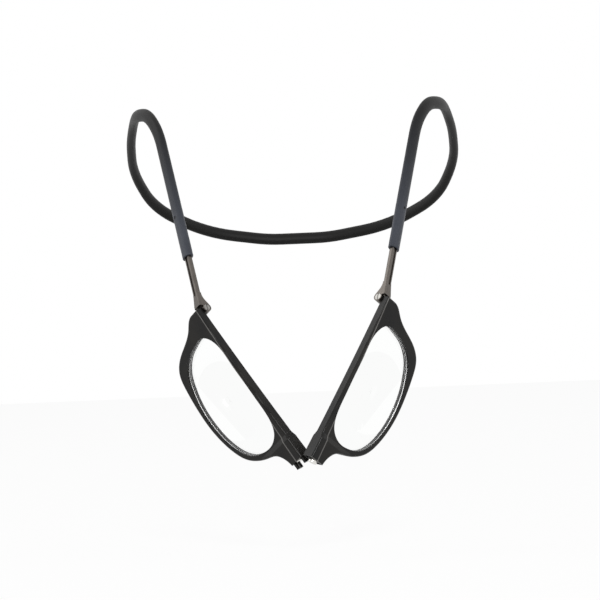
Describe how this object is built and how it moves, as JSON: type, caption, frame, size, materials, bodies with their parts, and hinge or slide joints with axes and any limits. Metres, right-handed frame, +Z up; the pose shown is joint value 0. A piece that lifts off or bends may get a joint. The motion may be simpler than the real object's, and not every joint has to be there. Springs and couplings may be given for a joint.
{
  "type": "magnetic bridge reading glasses",
  "caption": "Reading glasses that part at a magnetic bridge and hang open from a one-piece neck band, with folding fronts on arms that slide in the hollow band ends.",
  "frame": {"origin": "midway between the two places where the band lies on the shoulders, at the height of the band's underside there", "axes": "+X to the right of someone facing the wearer, +Y from the chest towards the back of the neck, +Z up"},
  "size_m": [0.1278, 0.1652, 0.1308],
  "materials": {
    "black_band": "soft satin",
    "black_front": "matte",
    "black_shoe": "smooth",
    "clear_lens": "polished",
    "gunmetal": "satin gunmetal plating",
    "hinge_steel": "bright",
    "magnet": "nickel plated"
  },
  "bodies": {
    "band": {"headband": "black_band", "left_retaining_pin": "hinge_steel", "right_retaining_pin": "hinge_steel"},
    "left_arm": {"left_temple_arm": "gunmetal", "left_slider_shoe": "black_shoe", "left_hinge_screw": "hinge_steel", "left_hinge_washers": "hinge_steel"},
    "right_arm": {"right_temple_arm": "gunmetal", "right_slider_shoe": "black_shoe", "right_hinge_screw": "hinge_steel", "right_hinge_washers": "hinge_steel"},
    "left_front": {"left_front_half": "black_front", "left_lens": "clear_lens", "left_bridge_magnet": "magnet", "left_hinge_plate": "hinge_steel"},
    "right_front": {"right_front_half": "black_front", "right_lens": "clear_lens", "right_bridge_magnet": "magnet", "right_hinge_plate": "hinge_steel"}
  },
  "joints": [
    {"name": "left_slide", "type": "slide", "parent": "band", "child": "left_arm", "axis": [0.1936, -0.509, -0.8387], "range_m": [-0.011, 0.002]},
    {"name": "right_slide", "type": "slide", "parent": "band", "child": "right_arm", "axis": [-0.1936, -0.509, -0.8387], "range_m": [-0.01, 0.004]},
    {"name": "left_hinge", "type": "hinge", "parent": "left_arm", "child": "left_front", "pos_m": [-0.02986, -0.06845, -0.06922], "axis": [0.5386, -0.6594, 0.5245], "range_deg": [0, 148]},
    {"name": "right_hinge", "type": "hinge", "parent": "right_arm", "child": "right_front", "pos_m": [0.03016, -0.06768, -0.06796], "axis": [0.5386, 0.6594, -0.5245], "range_deg": [0, 25]}
  ],
  "couplings": [
    {"joint": "right_hinge", "follows": "left_hinge", "ratio": 0.15}
  ]
}
